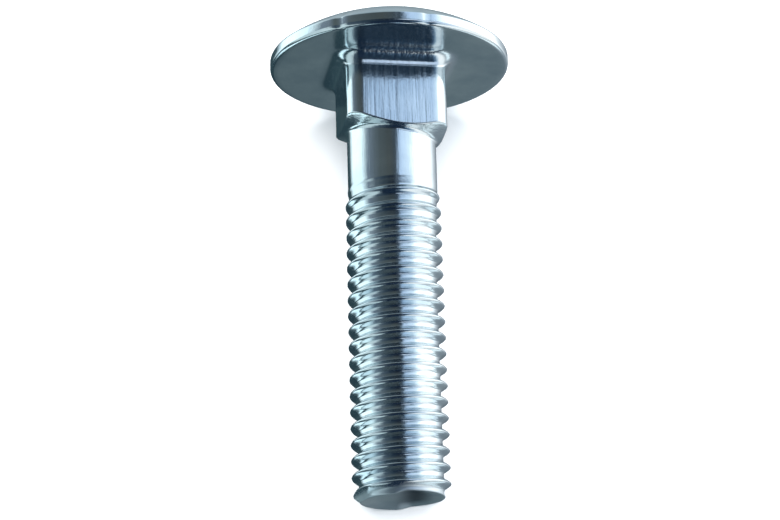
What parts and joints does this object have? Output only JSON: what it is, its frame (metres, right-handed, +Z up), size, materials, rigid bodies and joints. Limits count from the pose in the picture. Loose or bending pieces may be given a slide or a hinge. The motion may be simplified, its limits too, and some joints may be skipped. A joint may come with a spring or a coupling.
{
  "type": "carriage bolt",
  "caption": "Round-headed bolt with a square neck under a domed head, a plain shank and a threaded end, lying on its side; pulls timber together and is kept from turning by its neck.",
  "frame": {"origin": "on the ground, under the middle of the bolt as it lies on its rim and on the end of its thread", "axes": "+Z up, +Y along the bolt towards its head, seen from above; +X across it. The bolt's own axis rises towards the head"},
  "size_m": [0.015, 0.031, 0.015],
  "materials": {
    "zinc_plate": "bright bluish zinc plating, smooth and reflective, with fine drawn streaks on the neck"
  },
  "bodies": {
    "root": {"bolt": "zinc_plate"}
  },
  "joints": []
}
